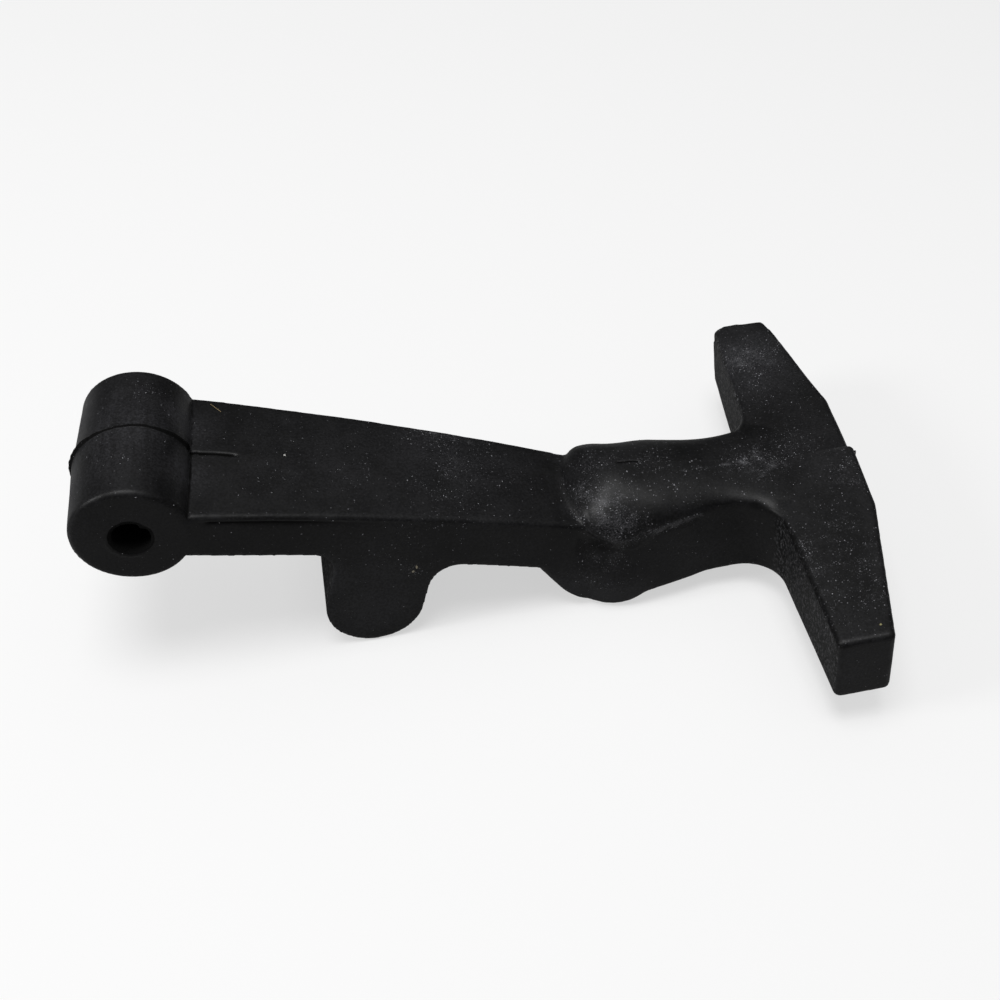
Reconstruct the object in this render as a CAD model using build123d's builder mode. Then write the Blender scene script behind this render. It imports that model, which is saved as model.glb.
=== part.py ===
from build123d import *
import os
from math import asin, atan2, cos, hypot, radians, sin, tan

# Flexible T-handle draw latch strap, moulded in one piece of black rubber.
# Millimetres. The bore centre is the origin and +Y runs along the bore. +X points from
# the barrel to the T handle, and +Z is up with the part lying on its lug and its heel.
# The mould parts at y = 0, so faces that run along Y slope away from that plane. Half
# of the part is built on the -Y side and then mirrored. Places in the side view are
# (along, up) with the handle slab level, and sizes there are those at the parting line.

mould_draft = 2.0

# hinge barrel
barrel_width = 30.0
barrel_radius = 10.0
barrel_bevel = 0.6
bore_radius = 3.25
bore_chamfer = 0.3

# strap: its top bows gently between the barrel and the heel
strap_start = 6.5
strap_root = (8.0, 2.65)
strap_middle = (40.0, -8.5)
strap_tip = (75.0, -23.35)
front_thickness = 9.25
back_thickness = 10.7
strap_tip_width = 18.9
strap_bevel = 0.6
root_step = 0.15

# lug under the strap, square to it, with a round tip
lug_place = (33.5, -28.3)
lug_radius = 8.9
lug_front_fillet = 4.2
lug_back_fillet = 5.0

# heel: the round shoulder under the start of the handle that hooks behind the keeper
heel_place = (74.5, -31.4)
heel_radius = 10.6
heel_face_angle = 63.0
heel_face_length = 11.0

# handle slab with its bulb, neck and T bar
slab_top = -23.5
slab_thickness = 16.75
seam_drop = 2.2
bulb_start = 72.0
neck_start = 96.0
arm_front = 104.0
arm_front_lean = 1.1
handle_end = 120.5
arm_tip_width = 9.1
arm_knee = 13.5
handle_width = 82.3
arm_fillet = 7.2
arm_corner = 1.0
top_bevel = 0.6
bottom_edge = 1.2

# domed spine: (along, width beyond the strap tip's, crown height, height of its side seam),
# the width on each side, and heights over slab_top
spine_stations = [
    (68.4, -4.45, 2.6, 1.0),
    (70.3, -1.05, 4.1, 1.0),
    (72.0, 0.75, 5.0, 0.2),
    (75.0, 1.55, 6.1, -1.8),
    (78.0, 1.75, 6.4, -4.0),
    (83.0, 1.25, 5.4, -1.6),
    (89.5, 0.0, 4.05, -0.75),
    (96.0, -0.7, 2.75, -0.7),
    (101.5, 0.45, 1.5, -0.9),
    (106.0, 1.9, 0.6, -1.3),
    (111.0, 3.3, -0.4, -2.1),
    (116.0, 4.7, -1.4, -2.9),
]
seam_step = 0.15

# flash left by the mould along the parting line
flash_height = 0.4
flash_width = 0.45
flash_tail = 7.5
nib_drop = 2.0
nib_size = (1.2, 1.6)

# The part lies on the lug and the heel, so the common tangent under them is level.
reach = hypot(heel_place[0] - lug_place[0], heel_place[1] - lug_place[1])
heel_fall = atan2(lug_place[1] - heel_place[1], heel_place[0] - lug_place[0])
rest_pitch = heel_fall + asin((heel_radius - lug_radius) / reach)
along = Vector(cos(rest_pitch), 0, sin(rest_pitch))
upward = Vector(-sin(rest_pitch), 0, cos(rest_pitch))
length_axis = Axis((0, 0, 0), along)
height_axis = Axis((0, 0, 0), upward)
side = Plane(origin=(0, 0, 0), x_dir=along, z_dir=(0, -1, 0))
plan = Plane(origin=(0, 0, 0), x_dir=along, z_dir=upward)


def cross_section(distance):
    """The plane square to the latch at this distance from the bore, on the slab's top."""
    return Plane(origin=along * distance + upward * slab_top, x_dir=(0, 1, 0), z_dir=along)


half_handle = handle_width / 2
draft_slope = tan(radians(mould_draft))
half_root = barrel_width / 2
half_tip = strap_tip_width / 2
slab_bottom = slab_top - slab_thickness
barrel_end_radius = barrel_radius - half_root * draft_slope
arm_back = handle_end - arm_knee * draft_slope
arm_tip_front = arm_front + arm_front_lean
arm_tip_back = arm_tip_front + arm_tip_width
bulb_points = [(x, seam_step - half_tip - w) for x, w, _, _ in spine_stations if bulb_start <= x <= neck_start]

with BuildPart() as strap:
    with BuildSketch(side):
        with BuildLine():
            bow = ThreePointArc(strap_root, strap_middle, strap_tip)
            depths = [(1, back_thickness), (0.5, back_thickness), (0.5, front_thickness), (0, front_thickness)]
            under = [bow @ t - (bow % t).rotate(Axis.Z, 90) * depth for t, depth in depths]
            Polyline(strap_tip, *under, (0, under[-1].Y), (0, strap_root[1]), strap_root)
        make_face()
    extrude(amount=half_root, taper=mould_draft)
    # lug, square to the strap
    lean = (bow % 0.4).get_angle(Vector(1, 0))
    with BuildSketch(side):
        with Locations(Location((*lug_place, 0), (0, 0, -lean))):
            Circle(lug_radius)
            Rectangle(2 * lug_radius, 14, align=(Align.CENTER, Align.MIN))
    extrude(amount=half_root, taper=mould_draft)
    lug_roots = strap.edges(Select.NEW).sort_by(Axis.X)
    fillet(lug_roots[0], lug_front_fillet)
    fillet(lug_roots[-1], lug_back_fillet)
    # taper seen from above
    with BuildSketch(plan):
        with BuildLine():
            Polyline(
                (strap_start, 0),
                (strap_start, root_step - half_root),
                (strap_root[0], root_step - half_root),
                (bulb_start - 1.5, -half_tip),
                (handle_end, -half_tip),
                (handle_end, 0),
                close=True,
            )
        make_face()
    extrude(amount=60, both=True, mode=Mode.INTERSECT)
    rims = strap.edges(Select.NEW).sort_by(SortBy.LENGTH)
    chamfer(rims[-1], strap_bevel)

with BuildPart() as handle:
    with BuildSketch(side):
        with BuildLine():
            Polyline(
                (handle_end, slab_bottom),
                (handle_end, slab_top),
                (neck_start + 3, slab_top),
                (bulb_start - 4, slab_top - seam_drop),
                (heel_place[0], slab_bottom),
                close=True,
            )
        make_face()
    extrude(amount=half_handle, taper=mould_draft)
    with BuildSketch(side):
        with BuildLine():
            lobe = CenterArc(heel_place, heel_radius, 180 + (90 - heel_face_angle), 90 + heel_face_angle)
            face = PolarLine(lobe @ 0, heel_face_length, 180 - heel_face_angle)
            Line(face @ 1, lobe @ 1)
        make_face()
    extrude(amount=half_root, taper=mould_draft)
    # T shape seen from above
    with BuildSketch(plan):
        with BuildLine():
            wall = Line((strap_root[0], -half_root), (bulb_start - 1.5, -half_tip))
            bulb = Spline((wall @ 1, *bulb_points), tangents=((1, -0.3), (1, 0)))
            neck = Line(bulb @ 1, (arm_front, bulb_points[-1][1]))
            Polyline(
                neck @ 1,
                (arm_tip_front, -half_handle),
                (arm_tip_back, -half_handle),
                (arm_back, -arm_knee),
                (handle_end, 0),
                (strap_root[0], 0),
                wall @ 0,
            )
        make_face()
        fillet(vertices().sort_by_distance(neck @ 1)[0], arm_fillet)
        fillet(vertices().sort_by(Axis.Y)[:2], arm_corner)
    extrude(amount=60, both=True, mode=Mode.INTERSECT)
    rims = handle.edges().filter_by_position(Axis.Y, -half_handle, -1)
    top_rims = rims.filter_by_position(height_axis, slab_top - 1.5, slab_top)
    bottom_rims = rims.filter_by_position(height_axis, slab_bottom - 2, slab_bottom + 1.5)
    chamfer(top_rims.filter_by_position(length_axis, neck_start, handle_end), top_bevel)
    fillet(bottom_rims, bottom_edge)

with BuildPart() as t_handle_strap:
    add(strap.part)
    add(handle.part)
    # domed spine
    for distance, beyond, crown, seam in spine_stations:
        half_width = half_tip + beyond
        with BuildSketch(cross_section(distance)):
            with BuildLine():
                arch = EllipticalCenterArc((0, seam), half_width, crown - seam, start_angle=90, arc_size=90)
                Polyline(arch @ 1, (1.5 - half_width, seam - 1.5), (0, seam - 1.5), arch @ 0)
            make_face()
    loft()
    # barrel with its bore
    with BuildSketch(Plane.YZ):
        with BuildLine():
            Polyline((0, 0), (-half_root, 0), (-half_root, barrel_end_radius), (0, barrel_radius), close=True)
        section = make_face()
        chamfer(section.vertices().sort_by_distance((-half_root, barrel_end_radius))[0], barrel_bevel)
    revolve(axis=Axis.Y)
    # flash squeezed out along the mould's parting line
    with BuildSketch(side):
        Circle(barrel_radius + flash_height)
        with Locations((handle_end, slab_top - nib_drop)):
            Rectangle(*nib_size)
        with Locations(Location((*strap_root, 0), (0, 0, -(bow % 0).get_angle(Vector(1, 0))))):
            Rectangle(2 * flash_tail, 2 * flash_height)
    extrude(amount=flash_width / 2)
    with BuildSketch(Plane.XZ):
        Circle(bore_radius)
    extrude(amount=barrel_width, mode=Mode.SUBTRACT)
    mouth = t_handle_strap.edges(Select.NEW).filter_by(GeomType.CIRCLE).sort_by(Axis.Y)[0]
    chamfer(mouth, bore_chamfer)
    mirror(about=Plane.XZ)

t_handle_strap.part.label = "t_handle_strap"
os.makedirs("parts", exist_ok=True)
export_step(t_handle_strap.part, "parts/t_handle_strap.step")
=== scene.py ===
import bpy
import bmesh
import math
import random
import numpy as np
from mathutils import Euler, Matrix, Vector, noise
from mathutils.bvhtree import BVHTree


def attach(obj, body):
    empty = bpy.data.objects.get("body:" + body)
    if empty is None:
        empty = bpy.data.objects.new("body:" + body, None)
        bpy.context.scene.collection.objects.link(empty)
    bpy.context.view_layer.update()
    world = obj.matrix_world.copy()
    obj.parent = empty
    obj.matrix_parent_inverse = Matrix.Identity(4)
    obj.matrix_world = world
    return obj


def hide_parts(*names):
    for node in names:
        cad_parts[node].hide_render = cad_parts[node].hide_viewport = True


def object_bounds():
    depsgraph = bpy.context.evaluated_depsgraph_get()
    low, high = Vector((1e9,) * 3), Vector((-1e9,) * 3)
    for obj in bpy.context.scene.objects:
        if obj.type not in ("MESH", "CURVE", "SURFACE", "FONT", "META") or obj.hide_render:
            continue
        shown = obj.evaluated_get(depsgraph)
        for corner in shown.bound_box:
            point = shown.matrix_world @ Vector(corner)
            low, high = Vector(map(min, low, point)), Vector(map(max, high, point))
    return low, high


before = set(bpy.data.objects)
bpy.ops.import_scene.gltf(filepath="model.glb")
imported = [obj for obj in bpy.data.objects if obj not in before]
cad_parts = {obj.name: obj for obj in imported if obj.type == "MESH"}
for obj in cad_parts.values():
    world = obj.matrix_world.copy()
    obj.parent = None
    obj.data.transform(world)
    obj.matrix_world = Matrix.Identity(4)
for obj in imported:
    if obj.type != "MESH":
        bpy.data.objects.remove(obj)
cadLow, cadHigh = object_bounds()
cadBox = [list(cadLow), list(cadHigh)]
mm = 0.001
print("frame loaded")

# each use of the noise has its own seed
noiseSeeds = {
    "wave": 1,
    "ripple": 2,
    "wander": 5,
    "ragged": 6,
    "lip": 8,
    "root": 9,
    "dust": 11,
    "smear": 13,
    "rubbed": 17,
}
seedStep = (7.31, 3.17, 5.73)


def linkObject(name, data):
    piece = bpy.data.objects.new(name, data)
    bpy.context.scene.collection.objects.link(piece)
    return piece


def meshPoints(mesh):
    points = np.empty(len(mesh.vertices) * 3)
    mesh.vertices.foreach_get("co", points)
    return points.reshape(-1, 3)


def meshNormals(mesh):
    normals = np.empty(len(mesh.vertices) * 3, dtype=np.float32)
    mesh.vertex_normals.foreach_get("vector", normals)
    return normals.reshape(-1, 3).astype(float)


def movePoints(mesh, points):
    mesh.vertices.foreach_set("co", points.ravel())
    mesh.update()


def keepInBox(mesh, points):
    margin = bodySettings["boxMargin"]
    movePoints(mesh, np.clip(points, np.array(cadBox[0]) + margin, np.array(cadBox[1]) - margin))


def smoothStep(low, high, values):
    t = np.clip((values - low) / (high - low), 0, 1)
    return t * t * (3 - 2 * t)


def between(rise, fall, values):
    # 0 before the rise, 1 from there to the fall, and 0 past it
    return smoothStep(*rise, values) * (1 - smoothStep(*fall, values))


def bellCurve(values, width):
    return np.exp(-((values / width) ** 2))


def moundAt(form, first, second):
    # 1 at the form's place, falling off over its reach
    alongFirst = bellCurve(first - form["place"][0], form["reach"][0])
    return alongFirst * bellCurve(second - form["place"][1], form["reach"][1])


def noiseAt(points, scale, use):
    offset = Vector([noiseSeeds[use] * step for step in seedStep])
    return np.array([noise.noise(Vector(p) / scale + offset) for p in points])


# camera: looks down on the latch from its near side
cameraSettings = {
    "place": (37.678 * mm, -169.826 * mm, 152.811 * mm),
    "turn": (45.7055, 0.2442, -7.6301),
    "lens": 49.489,
    "sensor": 36.0,
    "nearest": 0.005,
}
camera = linkObject("camera", bpy.data.cameras.new("camera"))
camera.location = cameraSettings["place"]
camera.rotation_euler = Euler([math.radians(a) for a in cameraSettings["turn"]], "XYZ")
camera.data.lens = cameraSettings["lens"]
camera.data.sensor_width = cameraSettings["sensor"]
camera.data.clip_start = cameraSettings["nearest"]
bpy.context.scene.camera = camera


def newGroup(name, inputs, outputs):
    group = bpy.data.node_groups.new(name, "ShaderNodeTree")
    for label, kind, value in inputs:
        socket = group.interface.new_socket(label, in_out="INPUT", socket_type=kind)
        if value is not None:
            socket.default_value = value
    for label, kind in outputs:
        group.interface.new_socket(label, in_out="OUTPUT", socket_type=kind)
    return group, group.nodes.new("NodeGroupInput"), group.nodes.new("NodeGroupOutput")


def addNode(tree, kind, settings=None, **links):
    # a socket is named by its label, or by i and its number
    node = tree.nodes.new(kind)
    for key, value in (settings or {}).items():
        setattr(node, key, value)
    for key, source in links.items():
        socket = node.inputs[int(key[1:])] if key[0] == "i" and key[1:].isdigit() else node.inputs[key]
        if isinstance(source, bpy.types.NodeSocket):
            tree.links.new(source, socket)
        else:
            socket.default_value = source
    return node


def mathNode(tree, operation, *values, clamp=False):
    links = {"i%d" % index: value for index, value in enumerate(values)}
    return addNode(tree, "ShaderNodeMath", {"operation": operation, "use_clamp": clamp}, **links).outputs[0]


def rampNode(tree, value, low, high, lowOut=0.0, highOut=1.0):
    node = addNode(tree, "ShaderNodeMapRange", {"interpolation_type": "SMOOTHSTEP"},
                   i0=value, i1=low, i2=high, i3=lowOut, i4=highOut)
    return node.outputs[0]


# textures of the shared groups, scaled per metre
textureSettings = {
    "fineGrain": {"Scale": 2600.0, "Detail": 4.0, "Roughness": 0.6},
    "broadGrain": {"Scale": 520.0, "Detail": 3.0, "Roughness": 0.55},
    "mottle": {"Scale": 170.0, "Detail": 5.0, "Roughness": 0.62},
    "speckWarp": {"Scale": 1500.0, "Detail": 2.0},
    "streaks": {"Scale": 1700.0, "Detail": 5.0, "Roughness": 0.7},
    "finePowder": {"Scale": 3600.0, "Detail": 5.0, "Roughness": 0.72},
    "broadPowder": {"Scale": 700.0, "Detail": 4.0, "Roughness": 0.6},
}
# how each group mixes its textures; an edge is where its mask starts and where it is full
groupSettings = {
    "grain": {"fine": 0.6, "broad": 0.8},
    "speck": {"warp": 0.0004, "size": 0.08, "sizeSpread": 0.26,
              "level": 0.12, "levelSpread": 0.85, "contrast": 2.2},
    "streak": {"edge": (0.48, 0.68)},
    "powder": {"broad": 0.5, "amount": 0.34, "start": -0.34, "edge": (0.52, 0.78)},
}


def noiseNode(tree, name, place):
    return addNode(tree, "ShaderNodeTexNoise", Vector=place, **textureSettings[name])


def objectPlace(tree):
    return addNode(tree, "ShaderNodeTexCoord").outputs["Object"]


def buildGrainGroup():
    group, inside, outside = newGroup(
        "mouldGrain",
        [("Scale", "NodeSocketFloat", 1.0)],
        [("Height", "NodeSocketFloat"), ("Fine", "NodeSocketFloat"), ("Mottle", "NodeSocketFloat")])
    shares = groupSettings["grain"]
    scaled = addNode(group, "ShaderNodeVectorMath", {"operation": "SCALE"}, i0=objectPlace(group))
    group.links.new(inside.outputs["Scale"], scaled.inputs["Scale"])
    fine = noiseNode(group, "fineGrain", scaled.outputs[0]).outputs["Fac"]
    broad = noiseNode(group, "broadGrain", scaled.outputs[0]).outputs["Fac"]
    mottle = noiseNode(group, "mottle", scaled.outputs[0]).outputs["Fac"]
    height = mathNode(group, "ADD", mathNode(group, "MULTIPLY", fine, shares["fine"]),
                      mathNode(group, "MULTIPLY", broad, shares["broad"]))
    for label, value in (("Height", height), ("Fine", fine), ("Mottle", mottle)):
        group.links.new(value, outside.inputs[label])
    return group


def buildSpeckGroup():
    group, inside, outside = newGroup(
        "dustSpecks",
        [("Amount", "NodeSocketFloat", 0.0), ("Scale", "NodeSocketFloat", 2200.0)],
        [("Mask", "NodeSocketFloat")])
    form = groupSettings["speck"]
    place = objectPlace(group)
    warp = noiseNode(group, "speckWarp", place).outputs["Color"]
    warped = addNode(group, "ShaderNodeVectorMath", {"operation": "MULTIPLY_ADD"},
                     i0=warp, i1=(form["warp"], form["warp"], form["warp"]), i2=place)
    cells = addNode(group, "ShaderNodeTexVoronoi", {"feature": "F1"}, Vector=warped.outputs[0])
    group.links.new(inside.outputs["Scale"], cells.inputs["Scale"])
    pick = addNode(group, "ShaderNodeSeparateColor", Color=cells.outputs["Color"])
    # only some cells hold a speck, and its size and brightness vary
    size = mathNode(group, "MULTIPLY_ADD", pick.outputs[1], form["sizeSpread"], form["size"])
    speck = mathNode(group, "LESS_THAN", cells.outputs["Distance"], size)
    chance = mathNode(group, "LESS_THAN", pick.outputs[0], inside.outputs["Amount"])
    uneven = mathNode(group, "POWER", pick.outputs[2], form["contrast"])
    bright = mathNode(group, "MULTIPLY_ADD", uneven, form["levelSpread"], form["level"])
    mask = mathNode(group, "MULTIPLY", mathNode(group, "MULTIPLY", speck, chance), bright)
    group.links.new(mask, outside.inputs["Mask"])
    return group


def buildStreakGroup():
    group, inside, outside = newGroup(
        "rubStreaks",
        [("Stretch", "NodeSocketVector", (1.0, 1.0, 1.0)), ("Amount", "NodeSocketFloat", 0.5)],
        [("Mask", "NodeSocketFloat")])
    scaled = addNode(group, "ShaderNodeVectorMath", {"operation": "MULTIPLY"}, i0=objectPlace(group))
    group.links.new(inside.outputs["Stretch"], scaled.inputs[1])
    lines = noiseNode(group, "streaks", scaled.outputs[0]).outputs["Fac"]
    sharp = rampNode(group, lines, *groupSettings["streak"]["edge"])
    group.links.new(mathNode(group, "MULTIPLY", sharp, inside.outputs["Amount"]), outside.inputs["Mask"])
    return group


def buildPowderGroup():
    group, inside, outside = newGroup(
        "dustPowder",
        [("Amount", "NodeSocketFloat", 0.0)],
        [("Mask", "NodeSocketFloat")])
    form = groupSettings["powder"]
    place = objectPlace(group)
    fine = noiseNode(group, "finePowder", place).outputs["Fac"]
    broad = noiseNode(group, "broadPowder", place).outputs["Fac"]
    level = mathNode(group, "MULTIPLY_ADD", inside.outputs["Amount"], form["amount"], form["start"])
    value = mathNode(group, "ADD", mathNode(group, "MULTIPLY_ADD", broad, form["broad"], fine), level)
    group.links.new(rampNode(group, value, *form["edge"]), outside.inputs["Mask"])
    return group


grainGroup = buildGrainGroup()
powderGroup = buildPowderGroup()
speckGroup = buildSpeckGroup()
streakGroup = buildStreakGroup()
print("shader groups built")

bodySettings = {
    "gridDepth": 8,
    "gridShare": 0.99,
    "relaxSteps": 3,
    "relaxFactor": 0.5,
    "boxMargin": 0.06 * mm,
    "fineBands": (0.95 * mm, 0.5 * mm),
    "waveHeight": 0.05 * mm,
    "waveLength": 8.0 * mm,
    "waveDrop": 0.6,
    "rippleHeight": 0.014 * mm,
    "rippleLength": 1.7 * mm,
}

# round forms, in mm: centre seen from the side, radius at the parting plane, fall towards the ends
draftFall = math.tan(math.radians(2.0))
roundSettings = [
    {"name": "barrel", "centre": (0.0, 0.0), "radius": 10.0, "fall": draftFall},
    {"name": "bore", "centre": (0.0, 0.0), "radius": 3.25, "fall": 0.0},
    {"name": "lug", "centre": (36.57, -24.2), "radius": 8.9, "fall": draftFall},
    {"name": "heel", "centre": (77.65, -22.5), "radius": 10.6, "fall": draftFall},
]
barrelRadius = roundSettings[0]["radius"]
# a round form is made true where its surface faces its axis and lies near its radius, in mm
trueSettings = {"facing": (0.95, 0.98), "near": (0.18, 0.3)}

# the strap's top along the parting plane, bowed through three places (x, z) in mm
strapBow = np.polyfit((7.64, 40.72, 77.21), (3.56, -3.78, -14.45), 2)

# the CAD's own flash: the ring in shares of the barrel's radius, the rest in mm
flashSettings = {
    "halfWidth": 0.3,
    "ring": (1.001, 1.06),
    "tail": (9.3, 17.5),
    "tailDepth": 0.2,
}


def takeFlashOff(points):
    # the flash is made again below, finer and more ragged
    x, y, z = points.T / mm
    radius = np.hypot(x, z)
    inMiddle = np.abs(y) < flashSettings["halfWidth"]
    start, end = flashSettings["ring"]
    ring = inMiddle & (radius > barrelRadius * start) & (radius < barrelRadius * end)
    points[ring, 0] *= barrelRadius / radius[ring]
    points[ring, 2] *= barrelRadius / radius[ring]
    start, end = flashSettings["tail"]
    tail = inMiddle & (x > start) & (x < end) & (z > np.polyval(strapBow, x) - flashSettings["tailDepth"])
    points[tail, 2] = np.polyval(strapBow, x[tail]) * mm


def makeBodyMesh(source):
    mesh = source.data.copy()
    points = meshPoints(mesh)
    takeFlashOff(points)
    movePoints(mesh, points)
    grown = linkObject("grown", mesh)
    remesh = grown.modifiers.new("remesh", "REMESH")
    remesh.mode = "SHARP"
    remesh.octree_depth = bodySettings["gridDepth"]
    remesh.scale = bodySettings["gridShare"]
    relax = grown.modifiers.new("relax", "SMOOTH")
    relax.factor = bodySettings["relaxFactor"]
    relax.iterations = bodySettings["relaxSteps"]
    bpy.context.view_layer.update()
    graph = bpy.context.evaluated_depsgraph_get()
    result = bpy.data.meshes.new_from_object(grown.evaluated_get(graph))
    bpy.data.objects.remove(grown)
    return result


def trueRounds(mesh):
    points = meshPoints(mesh)
    normals = meshNormals(mesh)
    for form in roundSettings:
        x = points[:, 0] / mm - form["centre"][0]
        z = points[:, 2] / mm - form["centre"][1]
        radius = np.maximum(np.hypot(x, z), 1e-6)
        wanted = form["radius"] - form["fall"] * np.abs(points[:, 1] / mm)
        facing = np.abs(normals[:, 0] * x + normals[:, 2] * z) / radius
        away = np.abs(radius - wanted)
        weight = smoothStep(*trueSettings["facing"], facing) * (1 - smoothStep(*trueSettings["near"], away))
        points[:, 0] += weight * (wanted / radius - 1) * x * mm
        points[:, 2] += weight * (wanted / radius - 1) * z * mm
    movePoints(mesh, points)


# where the mesh is made finer, in mm
detailSettings = {
    "barrelTo": 18,
    "handleTop": {"from": 66, "above": -16},
    "heel": {"from": 60, "to": 80, "below": -19},
    "boreMouth": {"past": 13.6, "radius": 4.5},
    "strapEdge": {"from": 9, "to": 47, "past": 9, "below": (0.2, 2.2), "passes": 2},
}


def alongParting(point):
    top, heel = detailSettings["handleTop"], detailSettings["heel"]
    onBarrel = point.x < detailSettings["barrelTo"] * mm
    onHandleTop = point.x > top["from"] * mm and point.z > top["above"] * mm
    onHeel = heel["from"] * mm < point.x < heel["to"] * mm and point.z < heel["below"] * mm
    return onBarrel or onHandleTop or onHeel


def atBoreMouth(point):
    mouth = detailSettings["boreMouth"]
    return abs(point.y) > mouth["past"] * mm and math.hypot(point.x, point.z) < mouth["radius"] * mm


def underStrapEdge(point):
    x, y, z = point / mm
    edge = detailSettings["strapEdge"]
    low, high = edge["below"]
    below = strapBow[0] * x * x + strapBow[1] * x + strapBow[2] - draftFall * abs(y) - z
    return edge["from"] < x < edge["to"] and abs(y) > edge["past"] and low < below < high


def refineWhere(work, test):
    chosen = [edge for edge in work.edges if test(edge.verts[0].co) and test(edge.verts[1].co)]
    bmesh.ops.subdivide_edges(work, edges=chosen, cuts=1, use_grid_fill=True)


def refineDetails(mesh):
    work = bmesh.new()
    work.from_mesh(mesh)
    for band in bodySettings["fineBands"]:
        refineWhere(work, lambda point: abs(point.y) < band and alongParting(point))
    refineWhere(work, atBoreMouth)
    for _ in range(detailSettings["strapEdge"]["passes"]):
        refineWhere(work, underStrapEdge)
    bmesh.ops.triangulate(work, faces=[f for f in work.faces if len(f.verts) > 4])
    work.to_mesh(mesh)
    work.free()


# places where one form runs softly into the next: low and high corners in mm, and passes
blendSettings = [
    {"low": (67, -9, -15), "high": (72, 9, -4), "passes": 5},
    {"low": (70.4, 4, -16), "high": (73.5, 12.5, -5), "passes": 6},
    {"low": (111.5, 37.5, -30), "high": (118, 42, -8), "passes": 10},
    {"low": (88, -14, -15), "high": (107, -7, -8), "passes": 10},
    {"low": (88, 7, -15), "high": (107, 14, -8), "passes": 10},
    {"low": (70, -12.5, -20.5), "high": (77, -8, -15.5), "passes": 8},
    {"low": (70, 8, -20.5), "high": (77, 12.5, -15.5), "passes": 8},
    {"low": (103, 37, -16), "high": (109, 42, -8), "passes": 14},
    {"low": (103, -42, -30), "high": (107.5, -37, -20), "passes": 8},
]


def blendForms(mesh):
    work = bmesh.new()
    work.from_mesh(mesh)
    for spot in blendSettings:
        low, high = Vector(spot["low"]) * mm, Vector(spot["high"]) * mm
        inside = [v for v in work.verts if all(low[i] < v.co[i] < high[i] for i in range(3))]
        for _ in range(spot["passes"]):
            bmesh.ops.smooth_vert(
                work, verts=inside, factor=0.5, use_axis_x=True, use_axis_y=True, use_axis_z=True)
    work.to_mesh(mesh)
    work.free()


# the bulb's sides: its dome swells over a crease and the wall under it, sizes in mm
bulbSettings = {
    "sides": {"across": (4.0, 7.5), "rise": (70.5, 73.0), "fall": (90.0, 97.0)},
    "shoulder": {"facing": (0.0, 0.5), "above": -16},
    "crease": [(72.5, -13.0), (75.5, -17.0), (79.0, -17.7), (82.5, -16.5), (90.5, -14.4), (97.0, -13.7)],
    "creaseCut": {"depth": 0.22, "width": 1.1, "rise": (74.0, 77.0), "fall": (81.0, 85.0)},
    # places are (along, up): the swell's is up from the crease, the others' from the bore
    "swell": {"place": (77.0, 2.6), "reach": (5.0, 3.4), "height": 0.48},
    "hollow": {"place": (73.4, -18.4), "reach": (3.4, 3.4), "height": -0.85},
    "cheek": {"place": (77.0, -26.0), "reach": (7.0, 5.0), "height": 0.95},
}


def bulbPush(points, normals):
    x, y, z = points.T / mm
    crease = np.array(bulbSettings["crease"])
    above = z - np.interp(x, crease[:, 0], crease[:, 1])
    cut = bulbSettings["creaseCut"]
    push = -cut["depth"] * bellCurve(above, cut["width"]) * between(cut["rise"], cut["fall"], x)
    for name, height in (("swell", above), ("hollow", z), ("cheek", z)):
        push += bulbSettings[name]["height"] * moundAt(bulbSettings[name], x, height)
    sides, shoulder = bulbSettings["sides"], bulbSettings["shoulder"]
    onSide = smoothStep(*sides["across"], np.abs(y)) * between(sides["rise"], sides["fall"], x)
    onShoulder = smoothStep(*shoulder["facing"], normals[:, 2]) * (z > shoulder["above"])
    return push * onSide * np.maximum(np.abs(normals[:, 1]), onShoulder)


# marks of the two mould halves, sizes in mm; across is the distance from the parting line
partingSettings = {
    "wander": {"length": 3.1, "width": 0.16, "step": (-2.2, -1.4), "radius": 11},
    "ragged": {"length": 0.9, "stretch": (1, 0, 1), "level": 0.5, "spread": 0.9},
    "upward": (0.5, 0.8),
    "ring": {"rise": (9.2, 9.6), "fall": (10.6, 10.9), "end": (8.6, 9.5)},
    # the fin of flash is highest where it meets the strap and at the front
    "fin": {"height": 0.26, "width": 0.15, "ragged": 0.09, "limits": (0.1, 1.0),
            "sides": 0.34, "facing": (0.25, 0.75)},
    # the near half of the barrel stands out a little at the front and below
    "nearHalf": {"height": 0.12, "facing": (0.1, 0.9), "lean": 0.3, "across": (-0.15, 0.05)},
    "slit": {"rise": (8.0, 8.9), "fall": (15.0, 17.2), "depth": 0.80, "width": 0.24},
    "slitLip": {"height": 0.05, "level": 0.7, "spread": 0.5, "across": -0.42, "width": 0.16},
    # groove in the corner where the strap leaves the barrel
    "root": {"place": (9.47, 3.21), "fall": (0.027, 0.029), "across": 14.6, "depth": 0.14, "width": 0.35},
    # shallow groove under the strap's top edges, fading towards the bulb
    "edgeGroove": {"below": 1.3, "width": 0.52, "depth": 0.26, "fall": 0.035,
                   "rise": (9.6, 12.5), "fade": (22, 46), "fadeShare": 0.8, "facing": (0.6, 0.9)},
    # line along the handle, cut deeper at one short scratch
    "line": {"height": 0.05, "width": 0.2, "level": 0.4,
             "rise": (72, 76), "facing": (0.4, 0.7), "above": (-17, -15)},
    "scratch": {"rise": (79.7, 80.4), "fall": (83.4, 84.6), "depth": 0.42, "across": 0.1, "width": 0.16},
    # torn flash down the heel's front
    "heelFlash": {"rise": (62, 64), "fall": (74, 76), "below": (-20, -18),
                  "height": 0.34, "width": 0.22, "limits": (0, 1.3)},
}
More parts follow.
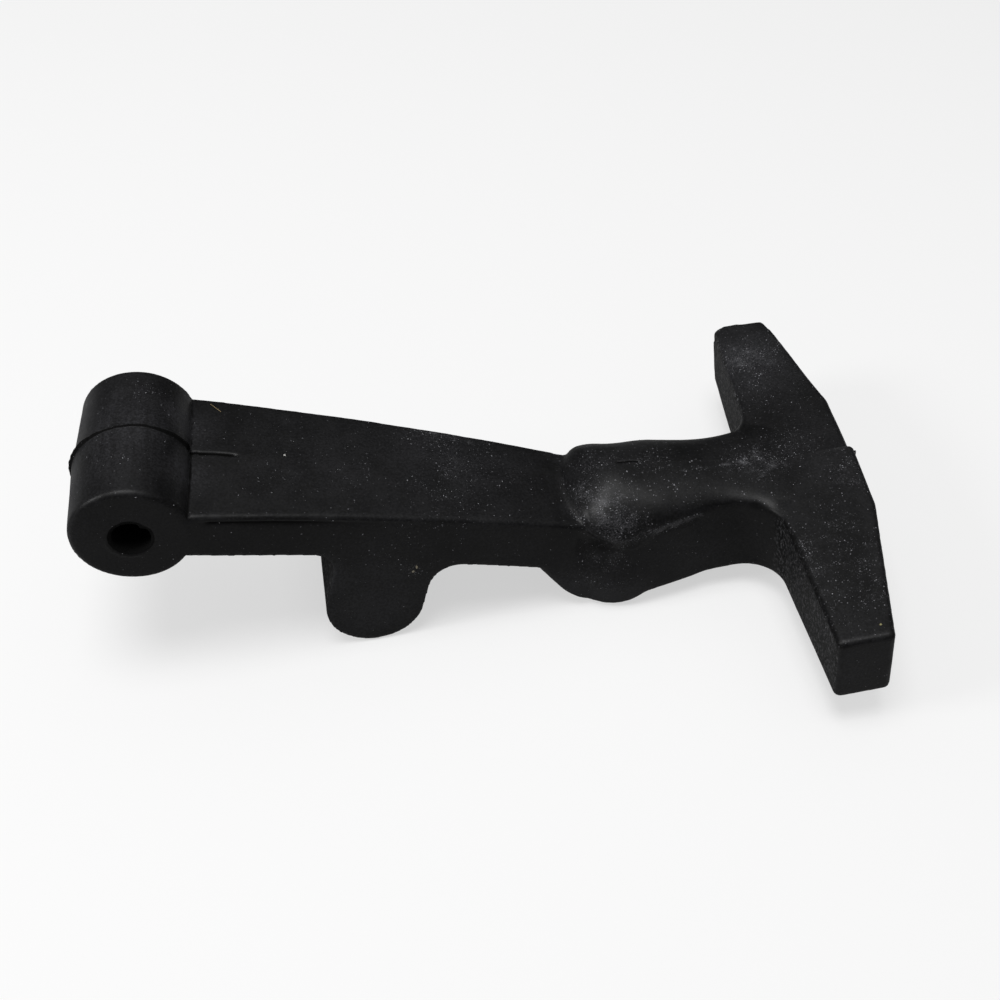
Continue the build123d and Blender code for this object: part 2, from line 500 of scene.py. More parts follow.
# bore's mouth, sizes in mm and turns in radians
boreSettings = {
    "mouth": {"past": (13.7, 14.3), "radius": (3.35, 3.9), "inside": 2.9},
    "lip": {"height": 0.55, "level": 0.42, "swing": 0.58, "turn": -0.15, "spread": 0.25, "length": 2.2},
    "tab": {"height": 0.50, "turn": 0.75, "width": 0.22},
    "ring": {"height": 0.18, "radius": 3.95, "width": 0.2, "level": 0.3, "turn": 0.6, "facing": (0.8, 0.95)},
}
# what differs between the near half and the far half, in mm
farSettings = {
    "arm": {"growth": 1.2, "across": (12, 41), "along": (105, 115)},
    "shoulder": {"height": 0.35, "place": 77.5, "reach": 3.2, "across": (3, 7), "above": -15},
    "face": {"depth": 0.85, "across": (-0.05, 0.2), "reach": 14, "along": (110, 119.5)},
}


def partingPlace(points, normals):
    x, y, z = points.T / mm
    radius = np.hypot(x, z)
    wander, ring, fin = (partingSettings[name] for name in ("wander", "ring", "fin"))
    step = smoothStep(*wander["step"], x) * (radius < wander["radius"])
    across = y - wander["width"] * (noiseAt(points, wander["length"] * mm, "wander") + step)
    barrel = between(ring["rise"], ring["fall"], radius) * (1 - smoothStep(*ring["end"], x))
    upward = smoothStep(*partingSettings["upward"], normals[:, 2])
    slit, scratch = (between(partingSettings[name]["rise"], partingSettings[name]["fall"], x) * upward
                     for name in ("slit", "scratch"))
    height = fin["height"] + fin["sides"] * smoothStep(*fin["facing"], np.abs(x) / radius)
    return across, barrel, slit, scratch, height


def underTopEdge(points, normals):
    x, y, z = points.T / mm
    groove = partingSettings["edgeGroove"]
    below = np.polyval(strapBow, x) - groove["fall"] * np.abs(y) - z
    along = smoothStep(*groove["rise"], x) * (1 - groove["fadeShare"] * smoothStep(*groove["fade"], x))
    onSide = smoothStep(*groove["facing"], np.abs(normals[:, 1]))
    return along * onSide * bellCurve(below - groove["below"], groove["width"])


def rootCorner(points):
    x, y, z = points.T / mm
    root = partingSettings["root"]
    across = np.abs(y)
    alongAway = x - root["place"][0] + root["fall"][0] * across
    upAway = z - root["place"][1] + root["fall"][1] * across
    return np.hypot(alongAway, upAway), across < root["across"]


def barrelPush(normals, ragged, across, barrel, height):
    fin, half = partingSettings["fin"], partingSettings["nearHalf"]
    ridge = np.clip(height + fin["ragged"] * (ragged - partingSettings["ragged"]["level"]), *fin["limits"])
    push = barrel * ridge * bellCurve(across, fin["width"])
    outward = smoothStep(*half["facing"], -normals[:, 0] - half["lean"] * normals[:, 2])
    return push + barrel * half["height"] * outward * (1 - smoothStep(*half["across"], across))


def strapPush(points, normals, ragged, across, onSlit):
    slit, lip, root = (partingSettings[name] for name in ("slit", "slitLip", "root"))
    push = -onSlit * slit["depth"] * bellCurve(across, slit["width"])
    lipHeight = lip["height"] * (lip["level"] + lip["spread"] * ragged)
    push += onSlit * lipHeight * bellCurve(across - lip["across"], lip["width"])
    away, inWidth = rootCorner(points)
    push -= root["depth"] * bellCurve(away, root["width"]) * inWidth
    return push - partingSettings["edgeGroove"]["depth"] * underTopEdge(points, normals)


def handlePush(points, normals, ragged, across, onScratch):
    x, y, z = points.T / mm
    line, scratch, flash = (partingSettings[name] for name in ("line", "scratch", "heelFlash"))
    top = smoothStep(*line["rise"], x) * smoothStep(*line["above"], z)
    top = top * smoothStep(*line["facing"], normals[:, 2])
    push = top * line["height"] * bellCurve(across, line["width"]) * (line["level"] + ragged)
    push -= onScratch * scratch["depth"] * bellCurve(across - scratch["across"], scratch["width"])
    heel = between(flash["rise"], flash["fall"], x) * (1 - smoothStep(*flash["below"], z))
    torn = flash["height"] * np.clip(ragged, *flash["limits"])
    return push + heel * torn * bellCurve(across, flash["width"])


def finishBore(points, normals, x, y, z):
    # a thin lip is left round the bore's mouth, with one small tab
    mouth, lip, tab, ring = (boreSettings[name] for name in ("mouth", "lip", "tab", "ring"))
    radius = np.hypot(x, z)
    turn = np.arctan2(z, x)
    atMouth = smoothStep(*mouth["past"], np.abs(y)) * (1 - smoothStep(*mouth["radius"], radius))
    uneven = lip["level"] + lip["swing"] * np.sin(turn - lip["turn"])
    uneven += lip["spread"] * noiseAt(points, lip["length"] * mm, "lip")
    inward = lip["height"] * np.clip(uneven, 0, 1)
    inward += tab["height"] * bellCurve(turn - tab["turn"], tab["width"])
    inward *= atMouth * (radius > mouth["inside"]) / np.maximum(radius, 1)
    raised = bellCurve(radius - ring["radius"], ring["width"])
    raised *= smoothStep(*ring["facing"], np.abs(normals[:, 1]))
    raised *= np.clip(ring["level"] - np.cos(turn - ring["turn"]), 0, 1)
    points[:, 1] += ring["height"] * mm * raised * np.sign(y)
    points[:, 0] -= inward * x * mm
    points[:, 2] -= inward * z * mm


def finishFarHalf(points, x, y, z):
    arm, shoulder, face = (farSettings[name] for name in ("arm", "shoulder", "face"))
    # the far arm came out of the mould a little wider at its tip
    points[:, 0] += arm["growth"] * mm * smoothStep(*arm["across"], y) * smoothStep(*arm["along"], x)
    # the far shoulder stands a little higher than the near one
    onShoulder = smoothStep(*shoulder["across"], y) * (z > shoulder["above"])
    points[:, 2] += shoulder["height"] * mm * bellCurve(x - shoulder["place"], shoulder["reach"]) * onShoulder
    # the halves of the T bar's outer face don't quite meet
    farSide = smoothStep(*face["across"], y) * (1 - np.clip(y / face["reach"], 0, 1))
    points[:, 0] -= farSide * face["depth"] * mm * smoothStep(*face["along"], x)


def partingMarks(points, normals):
    x, y, z = points.T / mm
    torn = partingSettings["ragged"]
    ragged = noiseAt(points * np.array(torn["stretch"]), torn["length"] * mm, "ragged")
    ragged = torn["level"] + torn["spread"] * ragged
    across, barrel, slit, scratch, height = partingPlace(points, normals)
    push = barrelPush(normals, ragged, across, barrel, height)
    push += strapPush(points, normals, ragged, across, slit)
    push += handlePush(points, normals, ragged, across, scratch)
    points += normals * (push * mm)[:, None]
    finishBore(points, normals, x, y, z)
    finishFarHalf(points, x, y, z)


# how dark the crevices are, from 0 to 1; places and widths in mm
shadeSettings = {
    "ring": {"across": -0.10, "width": 0.16, "widening": 0.36},
    "bore": {"level": 0.9, "radius": (3.5, 3.8)},
    "slitWidening": 1.3,
    "edgeGroove": 0.50,
    "hollow": {"place": (75.8, -18.2), "reach": (4.8, 2.1), "level": 0.40, "across": (5, 8)},
    "scratch": {"across": 0.1, "width": 0.19},
    "root": {"width": 0.24, "length": 2.0, "stretch": (0, 1, 0),
             "level": 0.55, "spread": 0.7, "farDrop": 0.25},
    # slope is the cosine and the sine of the handle slab's
    "arm": {"slope": (0.9932, 0.1165), "top": 23.5, "front": 104.0, "frontFall": 0.027, "level": 0.40,
            "wallDrop": 0.6, "wallWidth": 1.1, "wallFacing": (0.5, 0.8), "edgeWidth": 0.9, "edgePast": 17,
            "past": 8, "rise": (98, 103), "fall": (109, 111)},
}


def armShade(x, y, z, normals):
    # the near arm's front edge lies in the shade of the neck
    arm = shadeSettings["arm"]
    cosine, sine = arm["slope"]
    level = cosine * z - sine * x + arm["top"] + draftFall * np.abs(y)
    ahead = cosine * x + sine * z - arm["front"] - arm["frontFall"] * np.abs(y)
    wall = bellCurve(level + arm["wallDrop"], arm["wallWidth"])
    wall *= 1 - smoothStep(*arm["wallFacing"], normals[:, 2])
    edge = np.maximum(wall, bellCurve(np.hypot(ahead, level), arm["edgeWidth"]) * (y < -arm["edgePast"]))
    return arm["level"] * edge * between(arm["rise"], arm["fall"], x) * (y < -arm["past"])


def partingShade(points, normals):
    x, y, z = points.T / mm
    ring, bore, hollow, root = (shadeSettings[name] for name in ("ring", "bore", "hollow", "root"))
    across, barrel, slit, scratch, height = partingPlace(points, normals)
    ringWidth = ring["width"] + ring["widening"] * (height - partingSettings["fin"]["height"])
    away, inWidth = rootCorner(points)
    broken = root["spread"] * noiseAt(points * np.array(root["stretch"]), root["length"] * mm, "root")
    broken += root["level"] - root["farDrop"] * (points[:, 1] > 0)
    shades = [
        barrel * bellCurve(across - ring["across"], ringWidth),
        bore["level"] * (1 - smoothStep(*bore["radius"], np.hypot(x, z))),
        slit * bellCurve(across, partingSettings["slit"]["width"] * shadeSettings["slitWidening"]),
        scratch * bellCurve(across - shadeSettings["scratch"]["across"], shadeSettings["scratch"]["width"]),
        shadeSettings["edgeGroove"] * underTopEdge(points, normals),
        hollow["level"] * moundAt(hollow, x, z) * smoothStep(*hollow["across"], np.abs(y)),
        armShade(x, y, z, normals),
        np.clip(broken, 0, 1) * bellCurve(away, root["width"]) * inWidth,
    ]
    return np.maximum.reduce(shades)


def shapeBody(mesh):
    points = meshPoints(mesh)
    normals = meshNormals(mesh)
    wave = noiseAt(points, bodySettings["waveLength"], "wave") - bodySettings["waveDrop"]
    ripple = noiseAt(points, bodySettings["rippleLength"], "ripple") * bodySettings["rippleHeight"]
    push = wave * bodySettings["waveHeight"] + ripple + bulbPush(points, normals) * mm
    points += normals * push[:, None]
    crevice = partingShade(points, normals)
    partingMarks(points, normals)
    addLayer(mesh, "crevice", crevice)
    mesh.polygons.foreach_set("use_smooth", [True] * len(mesh.polygons))
    keepInBox(mesh, points)


# dust that lies in patches: place in mm, reach in mm and share of specks
dustSettings = {
    "patches": [
        ((44, 9, -5), 3, 0.20),
        ((50, 8, -7), 4.5, 0.36),
        ((57, 7, -8.5), 3.5, 0.20),
        ((53, 2, -7), 5.5, 0.26),
        ((60, 1, -9), 4, 0.14),
        ((36, -3, -3), 5, 0.10),
        ((49, -6, -6.5), 6.5, 0.15),
        ((23, -4, 0), 4.5, 0.05),
        ((74, -5, -10), 4, 0.42),
        ((77, -8, -11), 5, 0.50),
        ((79, -10, -14), 4, 0.60),
        ((77, -10, -20), 4.5, 0.36),
        ((76, -10, -26), 5, 0.24),
        ((77, 1, -8), 5, 0.20),
        ((86, 2, -8.5), 6, 0.14),
        ((90, -5, -10), 5, 0.10),
        ((104, -1, -10), 4.5, 0.38),
        ((108, -2, -10), 3, 0.36),
        ((112, 4, -10.5), 5, 0.18),
        ((120, -6, -10), 4, 0.26),
        ((111, 30, -12), 5.5, 0.50),
        ((112, 25, -11.5), 3.5, 0.28),
        ((110, 18, -11.5), 5, 0.14),
        ((114, -18, -11), 5, 0.18),
        ((116, -25, -11), 5, 0.18),
        ((116, -32, -11), 5.5, 0.20),
        ((107, 30, -14), 8, 0.20),
        ((107, -22, -14), 7, 0.26),
        ((107, -31, -15), 8, 0.20),
        ((43.5, -12, -17), 1.5, 0.60),
        ((40, -12, -11), 5, 0.12),
        ((2.5, 10, 9), 2.5, 0.24),
        ((-1, -6, 9.5), 5, 0.06),
    ],
    # thin trails: start, end, reach and share
    "trails": [
        ((91, -2.3, -9), (103, -0.8, -10), 0.22, 0.75),
        ((79, -0.8, -8.5), (90, -1.2, -9), 0.30, 0.30),
        ((79.5, -11.6, -15.9), (93, -9.3, -13.6), 0.75, 1.00),
        ((44, -3, -5), (58, -7, -9), 0.60, 0.16),
        ((45, 11, -5.5), (56, 8.5, -8.5), 0.80, 0.45),
    ],
    "everywhere": 0.022,
    "handleTop": {"share": 0.030, "facing": (0.4, 0.8), "along": (68, 74)},
    # on the faces towards the far side it settles thinly
    "hidden": {"share": 0.035, "facing": (0.0, 0.8)},
}
# grey film left by handling, and painted sheen: it lightens the barrel's left side as a painted highlight
# from the side light, and the lower heel and lug as a painted reflection of the floor; place in mm, reach in
# mm and strength
filmAndSheenSettings = [
    ((0, 0, 10), 11, 0.85),
    ((-9.5, 7, 2), 5.5, 2.40),
    ((-9.5, -8, 1), 5.5, 2.10),
    ((8.5, 6, 5), 4, 1.80),
    ((8.5, -6, 5), 4, 1.50),
    ((50, 5, -7), 13, 0.55),
    ((30, 0, -2), 12, 0.25),
    ((77, -8, -11.5), 4.8, 0.30),
    ((77, 3, -8), 6, 0.45),
    ((111, 29, -12), 9, 1.25),
    ((107, 32, -16), 7, 0.45),
    ((104, -1, -10), 4, 0.40),
    ((118, 0, -10), 9, 0.25),
    ((37, -13, -23), 10, 1.35),
    ((70, -10, -29), 6, 1.70),
    ((79, -10, -32), 7, 1.60),
    ((29, -13, -17), 5, 1.60),
    ((40, -13, -10), 10, 0.45),
    ((58, -11, -14), 10, 0.35),
    ((92, -9, -22), 9, 0.60),
    ((110, -41, -20), 8, 0.60),
]
# how unevenly dust and the film with its painted sheen lie, lengths in mm; rubbed is the film and painted
# sheen on the barrel, up to its end along x
unevenSettings = {
    "dust": {"length": 2.3, "stretch": (1, 1, 1), "spread": 1.1, "limits": (0.15, 2.2)},
    "smear": {"length": 5.0, "stretch": (1, 1, 1), "spread": 0.55, "limits": (0.3, 1.7)},
    "rubbed": {"length": 0.8, "stretch": (1, 0.10, 1), "spread": 0.8, "limits": (0.2, 2.2), "to": 9.5},
}


def layPatches(points, patches, uneven):
    level = np.zeros(len(points))
    for place, reach, share in patches:
        away = np.linalg.norm(points - np.array(place) * mm, axis=1) / (reach * mm)
        level = np.maximum(level, share * np.exp(-(away ** 2)) * uneven)
    return level


def layTrail(points, start, end, reach, share):
    first, last = np.array(start) * mm, np.array(end) * mm
    line = last - first
    t = np.clip((points - first) @ line / (line @ line), 0, 1)
    away = np.linalg.norm(points - first - t[:, None] * line, axis=1) / (reach * mm)
    return share * np.exp(-(away ** 2))


def unevenness(points, use):
    form = unevenSettings[use]
    level = 1 + form["spread"] * noiseAt(points * np.array(form["stretch"]), form["length"] * mm, use)
    return np.clip(level, *form["limits"])


def addLayer(mesh, name, values):
    layer = mesh.attributes.new(name, "FLOAT", "POINT")
    layer.data.foreach_set("value", values.astype(np.float32))


def paintDust(mesh):
    points = meshPoints(mesh)
    normals = meshNormals(mesh)
    x = points[:, 0] / mm
    hidden, top = dustSettings["hidden"], dustSettings["handleTop"]
    uneven = unevenness(points, "dust")
    amount = np.maximum(dustSettings["everywhere"], layPatches(points, dustSettings["patches"], uneven))
    for trail in dustSettings["trails"]:
        amount = np.maximum(amount, layTrail(points, *trail) * uneven)
    amount += hidden["share"] * smoothStep(*hidden["facing"], normals[:, 1])
    amount += top["share"] * smoothStep(*top["facing"], normals[:, 2]) * smoothStep(*top["along"], x)
    addLayer(mesh, "dust", amount)
    # on the barrel the film and its painted sheen are rubbed along its length
    onBarrel = x < unevenSettings["rubbed"]["to"]
    smear = np.where(onBarrel, unevenness(points, "rubbed"), unevenness(points, "smear"))
    addLayer(mesh, "filmAndSheen", layPatches(points, filmAndSheenSettings, smear))


body = linkObject("rubberLatch", makeBodyMesh(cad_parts["t_handle_strap"]))
print("body remeshed:", len(body.data.polygons), "faces")
trueRounds(body.data)
blendForms(body.data)
refineDetails(body.data)
print("body refined:", len(body.data.polygons), "faces")
shapeBody(body.data)
paintDust(body.data)
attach(body, "root")
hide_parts("t_handle_strap")
print("body shaped")

rubberSettings = {
    "colour": (0.0040, 0.0040, 0.0042, 1),
    "paleColour": (0.0105, 0.0105, 0.0112, 1),
    "filmAndSheenColour": (0.030, 0.030, 0.033, 1),
    "powderColour": (0.060, 0.060, 0.064, 1),
    "dustColour": (0.26, 0.26, 0.28, 1),
    "creviceColour": (0.0004, 0.0004, 0.0004, 1),
    "streakColour": (0.115, 0.115, 0.120, 1),
    "roughness": (0.34, 0.48),
    "filmAndSheenRoughness": 0.62,
    "dustRoughness": 0.95,
    "specular": 0.21,
    "grainScale": 1.0,
    "grainBump": 0.26,
    "grainDepth": 0.1 * mm,
    # shares of the fine grain and the mottle in the tone, and where the tone turns pale
    "toneShares": (0.7, 0.5),
    "toneRamp": (0.48, 0.76),
    "mottleRamp": (0.3, 0.7),
    # the film and its painted sheen are thinner where the grain is low: grain from and to, share from and to
    "filmAndSheenRamp": (0.38, 0.66, 0.25, 0.80),
    "powderRamp": (0.02, 0.26),
    "creviceRamp": (0.16, 0.52),
    "speckShare": 1.6,
    "speckScales": (2600.0, 4600.0),
    "fineSpeckLevel": 0.7,
}
# the walls that face the barrel; past is in metres along the latch
frontSettings = {
    "facing": (-0.76, -0.97),
    "past": (0.018, 0.024),
    "stretch": (1.0, 1.3, 0.8),
    "streaks": 1.0,
    "darkness": 0.7,
    "roughness": 0.62,
    "coarseness": 5.0,
}


def mixColour(tree, factor, low, high):
    node = addNode(tree, "ShaderNodeMix", {"data_type": "RGBA"}, i0=factor, i6=low, i7=high)
    return node.outputs[2]


def newMaterial(name):
    material = bpy.data.materials.new(name)
    material.use_nodes = True
    material.node_tree.nodes.clear()
    return material, material.node_tree


def layerFactor(tree, name):
    return addNode(tree, "ShaderNodeAttribute", {"attribute_name": name}).outputs["Fac"]


def speckMask(tree, amount, scale):
    specks = addNode(tree, "ShaderNodeGroup", {"node_tree": speckGroup}, Amount=amount)
    specks.inputs["Scale"].default_value = scale
    return specks.outputs["Mask"]


def frontMask(tree):
    facing = addNode(tree, "ShaderNodeNewGeometry").outputs["Normal"]
    forward = addNode(tree, "ShaderNodeSeparateXYZ", Vector=facing).outputs[0]
    along = addNode(tree, "ShaderNodeSeparateXYZ", Vector=objectPlace(tree)).outputs[0]
    pastBarrel = rampNode(tree, along, *frontSettings["past"])
    return mathNode(tree, "MULTIPLY", rampNode(tree, forward, *frontSettings["facing"]), pastBarrel)


def makeRubber():
    material, tree = newMaterial("blackRubber")
    shader = addNode(tree, "ShaderNodeBsdfPrincipled")
    addNode(tree, "ShaderNodeOutputMaterial", Surface=shader.outputs[0])
    shader.inputs["Specular IOR Level"].default_value = rubberSettings["specular"]
    dust = layerFactor(tree, "dust")
    grain = addNode(tree, "ShaderNodeGroup", {"node_tree": grainGroup}, Scale=rubberSettings["grainScale"])
    fine, mottle = grain.outputs["Fine"], grain.outputs["Mottle"]
    fineShare, mottleShare = rubberSettings["toneShares"]
    tone = mathNode(tree, "MULTIPLY_ADD", fine, fineShare, mathNode(tree, "MULTIPLY", mottle, mottleShare))
    pale = rampNode(tree, tone, *rubberSettings["toneRamp"])
    colour = mixColour(tree, pale, rubberSettings["colour"], rubberSettings["paleColour"])
    # grey film from handling, with a painted highlight on the barrel's left side and a painted floor
    # reflection on the lower heel and lug
    filmAndSheenShare = rampNode(tree, fine, *rubberSettings["filmAndSheenRamp"])
    hazeAndSheen = mathNode(tree, "MULTIPLY", layerFactor(tree, "filmAndSheen"), filmAndSheenShare, clamp=True)
    colour = mixColour(tree, hazeAndSheen, colour, rubberSettings["filmAndSheenColour"])
    # fine powder where the specks are densest
    powder = addNode(tree, "ShaderNodeGroup", {"node_tree": powderGroup}, Amount=dust)
    dense = rampNode(tree, dust, *rubberSettings["powderRamp"])
    cover = mathNode(tree, "MULTIPLY", powder.outputs["Mask"], dense, clamp=True)
    colour = mixColour(tree, cover, colour, rubberSettings["powderColour"])
    # the walls that face the barrel are coarser and darker, with pale rubbed streaks
    front = frontMask(tree)
    streaks = addNode(tree, "ShaderNodeGroup", {"node_tree": streakGroup}, Amount=frontSettings["streaks"])
    streaks.inputs["Stretch"].default_value = frontSettings["stretch"]
    rubbed = mathNode(tree, "MULTIPLY", streaks.outputs["Mask"], front)
    dark = mathNode(tree, "MULTIPLY", front, frontSettings["darkness"])
    colour = mixColour(tree, dark, colour, rubberSettings["creviceColour"])
    colour = mixColour(tree, rubbed, colour, rubberSettings["streakColour"])
    many = mathNode(tree, "MULTIPLY", dust, rubberSettings["speckShare"])
    coarseSpecks, fineSpecks = (speckMask(tree, many, scale) for scale in rubberSettings["speckScales"])
    fainter = mathNode(tree, "MULTIPLY", fineSpecks, rubberSettings["fineSpeckLevel"])
    specks = mathNode(tree, "MAXIMUM", coarseSpecks, fainter)
    colour = mixColour(tree, specks, colour, rubberSettings["dustColour"])
    # light doesn't reach into the crevices
    deep = rampNode(tree, layerFactor(tree, "crevice"), *rubberSettings["creviceRamp"])
    colour = mixColour(tree, deep, colour, rubberSettings["creviceColour"])
    tree.links.new(colour, shader.inputs["Base Color"])
    # where a finish covers the rubber, it is at least this rough
    rough = rampNode(tree, mottle, *rubberSettings["mottleRamp"], *rubberSettings["roughness"])
    finishes = (
        (hazeAndSheen, rubberSettings["filmAndSheenRoughness"]),
        (front, frontSettings["roughness"]),
        (mathNode(tree, "MAXIMUM", specks, deep), rubberSettings["dustRoughness"]),
    )
    for mask, roughness in finishes:
        rough = mathNode(tree, "MAXIMUM", rough, mathNode(tree, "MULTIPLY", mask, roughness))
    tree.links.new(rough, shader.inputs["Roughness"])
    coarse = mathNode(tree, "MULTIPLY_ADD", front, frontSettings["coarseness"], 1.0)
    bump = addNode(tree, "ShaderNodeBump", Height=mathNode(tree, "MULTIPLY", grain.outputs["Height"], coarse))
    bump.inputs["Strength"].default_value = rubberSettings["grainBump"]
    bump.inputs["Distance"].default_value = rubberSettings["grainDepth"]
    tree.links.new(bump.outputs[0], shader.inputs["Normal"])
    return material


rubber = makeRubber()
body.data.materials.clear()
body.data.materials.append(rubber)
print("rubber material made")

matteSettings = {
    "roughness": 0.9,
    "specular": 0.2,
    "darkShare": 0.55,
    "grainScale": 1.0,
}
# a bit of dust: a jagged lump, pressed flat against the surface
lumpSettings = {
    "stretch": (0.6, 1.5),
    "jag": (0.75, 1.2),
    "flattening": 0.45,
    "lift": 0.25,
}
grainSettings = {
    "count": 620,
    "size": (0.030 * mm, 0.095 * mm),
    "smallness": 2.5,
    "gathering": 1.3,
    "colour": (0.34, 0.34, 0.36, 1),
    "seed": 7,
}
# crumbs: place and size in mm, and colour
crumbSettings = {
    "places": [
        ((24.1, 0.6, 0.15), 0.26, (0.55, 0.55, 0.52, 1)),
        ((44.0, -12.0, -16.4), 0.30, (0.30, 0.27, 0.20, 1)),
        ((43.4, -12.0, -17.3), 0.24, (0.22, 0.20, 0.16, 1)),
        ((114.6, -38.6, -11.0), 0.20, (0.34, 0.31, 0.16, 1)),
    ],
    "seed": 3,
}
fibreSettings = {
    "points": [(12.1, 12.9, 2.25), (12.7, 12.3, 2.5), (13.3, 11.7, 2.45), (13.9, 10.9, 2.1)],
    "radius": 0.055 * mm,
    "lift": 1.5,
    "colour": (0.30, 0.23, 0.13, 1),
}


def makeMatte(name, colour):
    material, tree = newMaterial(name)
    shader = addNode(tree, "ShaderNodeBsdfPrincipled")
    shader.inputs["Roughness"].default_value = matteSettings["roughness"]
    shader.inputs["Specular IOR Level"].default_value = matteSettings["specular"]
    grain = addNode(tree, "ShaderNodeGroup", {"node_tree": grainGroup}, Scale=matteSettings["grainScale"])
    dark = tuple(c * matteSettings["darkShare"] for c in colour[:3]) + (1,)
    tree.links.new(mixColour(tree, grain.outputs["Height"], dark, colour), shader.inputs["Base Color"])
    addNode(tree, "ShaderNodeOutputMaterial", Surface=shader.outputs[0])
    return material


def addLump(work, place, normal, size, dice):
    made = bmesh.ops.create_icosphere(work, subdivisions=1, radius=size)
    stretch = Vector([dice.uniform(*lumpSettings["stretch"]) for _ in range(3)])
    for vertex in made["verts"]:
        jag = dice.uniform(*lumpSettings["jag"])
        local = Vector([vertex.co[i] * stretch[i] * jag for i in range(3)])
        flat = normal * local.dot(normal) * lumpSettings["flattening"]
        vertex.co = place + local - flat + normal * size * lumpSettings["lift"]


def meshFrom(work, name):
    mesh = bpy.data.meshes.new(name)
    work.to_mesh(mesh)
    work.free()
    return mesh


def scatterGrains(surface):
    dice = random.Random(grainSettings["seed"])
    points = meshPoints(surface)
    normals = meshNormals(surface)
    dust = np.empty(len(points), dtype=np.float32)
    surface.attributes["dust"].data.foreach_get("value", dust)
    share = np.cumsum(dust.astype(float) ** grainSettings["gathering"])
    work = bmesh.new()
    low, high = grainSettings["size"]
    for _ in range(grainSettings["count"]):
        index = int(np.searchsorted(share, dice.random() * share[-1]))
        size = low + (high - low) * dice.random() ** grainSettings["smallness"]
        addLump(work, Vector(points[index]), Vector(normals[index]), size, dice)
    mesh = meshFrom(work, "dustGrains")
    keepInBox(mesh, meshPoints(mesh))
    return linkObject("dustGrains", mesh)


def surfacePoint(tree, place):
    spot, normal, _, _ = tree.find_nearest(Vector(place) * mm)
    return spot, normal


grains = scatterGrains(body.data)
grains.data.materials.append(makeMatte("paleDust", grainSettings["colour"]))
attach(grains, "root")

bodyTree = BVHTree.FromPolygons([v.co for v in body.data.vertices], [p.vertices for p in body.data.polygons])
crumbDice = random.Random(crumbSettings["seed"])
for number, (place, size, colour) in enumerate(crumbSettings["places"]):
    name = "crumb%d" % number
    work = bmesh.new()
    spot, normal = surfacePoint(bodyTree, place)
    addLump(work, spot, normal, size * mm, crumbDice)
    crumb = linkObject(name, meshFrom(work, name))
    crumb.data.materials.append(makeMatte(name, colour))
    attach(crumb, "root")


def makeFibre():
    curve = bpy.data.curves.new("lintFibre", "CURVE")
    curve.dimensions = "3D"
    curve.bevel_depth = fibreSettings["radius"]
    curve.bevel_resolution = 2
    curve.use_fill_caps = True
    spline = curve.splines.new("NURBS")
    spline.points.add(len(fibreSettings["points"]) - 1)
    for point, place in zip(spline.points, fibreSettings["points"]):
        spot, normal = surfacePoint(bodyTree, place)
        lift = fibreSettings["radius"] * fibreSettings["lift"]
        point.co = (*(spot + normal * lift), 1)
    spline.order_u = 3
    spline.use_endpoint_u = True
    return linkObject("lintFibre", curve)


fibre = makeFibre()
fibre.data.materials.append(makeMatte("tanLint", fibreSettings["colour"]))
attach(fibre, "root")
print("dust and lint placed")

white = (1, 1, 1, 1)
floorSettings = {
    "size": 6.0,
    "gap": 0.02 * mm,
    "colour": (0.94, 0.94, 0.94, 1),
    "glow": 0.58,
    "bounce": (0.33, 0.33, 0.33, 1),
}


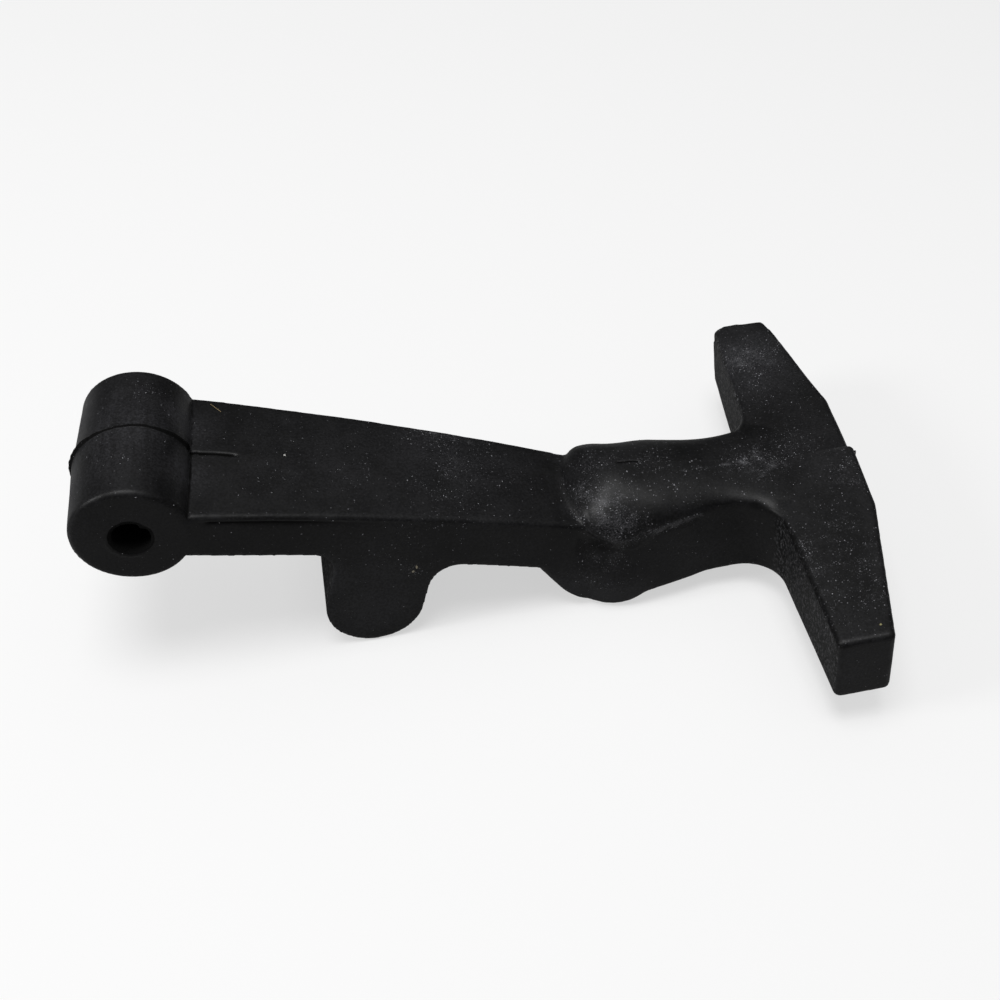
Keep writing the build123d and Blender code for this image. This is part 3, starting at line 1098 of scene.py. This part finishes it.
def makeFloorMaterial():
    material, tree = newMaterial("paleFloor")
    diffuse = addNode(tree, "ShaderNodeBsdfDiffuse", Color=floorSettings["colour"])
    bounce = addNode(tree, "ShaderNodeBsdfDiffuse", Color=floorSettings["bounce"])
    glow = addNode(tree, "ShaderNodeEmission", Color=white, Strength=1.0)
    seen = addNode(tree, "ShaderNodeMixShader", i0=floorSettings["glow"],
                   i1=diffuse.outputs[0], i2=glow.outputs[0])
    path = addNode(tree, "ShaderNodeLightPath")
    mixed = addNode(tree, "ShaderNodeMixShader", i0=path.outputs["Is Camera Ray"],
                    i1=bounce.outputs[0], i2=seen.outputs[0])
    addNode(tree, "ShaderNodeOutputMaterial", Surface=mixed.outputs[0])
    return material


def makeFloor():
    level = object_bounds()[0].z - floorSettings["gap"]
    half = floorSettings["size"] / 2
    corners = [(-half, -half, level), (half, -half, level), (half, half, level), (-half, half, level)]
    mesh = bpy.data.meshes.new("floor")
    mesh.from_pydata(corners, [], [(0, 1, 2, 3)])
    mesh.update()
    mesh.materials.append(makeFloorMaterial())
    return linkObject("floor", mesh)


floor = makeFloor()

# the sky's light grows from the horizon to straight above
skySettings = {
    "span": (0.30, 0.98),
    "strength": (0.03, 0.42),
}
world = bpy.data.worlds.new("studio")
bpy.context.scene.world = world
world.use_nodes = True
sky = world.node_tree
sky.nodes.clear()
skyHeading = addNode(sky, "ShaderNodeTexCoord").outputs["Generated"]
skyHeight = addNode(sky, "ShaderNodeSeparateXYZ", Vector=skyHeading).outputs[2]
skyLight = rampNode(sky, skyHeight, *skySettings["span"], *skySettings["strength"])
ambient = addNode(sky, "ShaderNodeBackground", Color=white, Strength=skyLight)
backdrop = addNode(sky, "ShaderNodeBackground", Color=white, Strength=1.0)
skyPath = addNode(sky, "ShaderNodeLightPath")
skyMix = addNode(sky, "ShaderNodeMixShader", i0=skyPath.outputs["Is Camera Ray"],
                 i1=ambient.outputs[0], i2=backdrop.outputs[0])
addNode(sky, "ShaderNodeOutputWorld", Surface=skyMix.outputs[0])

lampSettings = {
    "overhead": {"place": (-0.05, -0.12, 0.80), "size": 0.42, "power": 4.0},
    "left": {"place": (-0.72, -0.12, 0.50), "size": 0.30, "power": 2.5},
}
aim = (Vector(cadBox[0]) + Vector(cadBox[1])) / 2
for name, lamp in lampSettings.items():
    light = bpy.data.lights.new(name, "AREA")
    light.shape = "DISK"
    light.size = lamp["size"]
    light.energy = lamp["power"]
    holder = linkObject(name, light)
    holder.location = lamp["place"]
    holder.rotation_euler = (aim - Vector(lamp["place"])).to_track_quat("-Z", "Y").to_euler()

bpy.context.scene.view_settings.view_transform = "Standard"
print("stage and lights set")
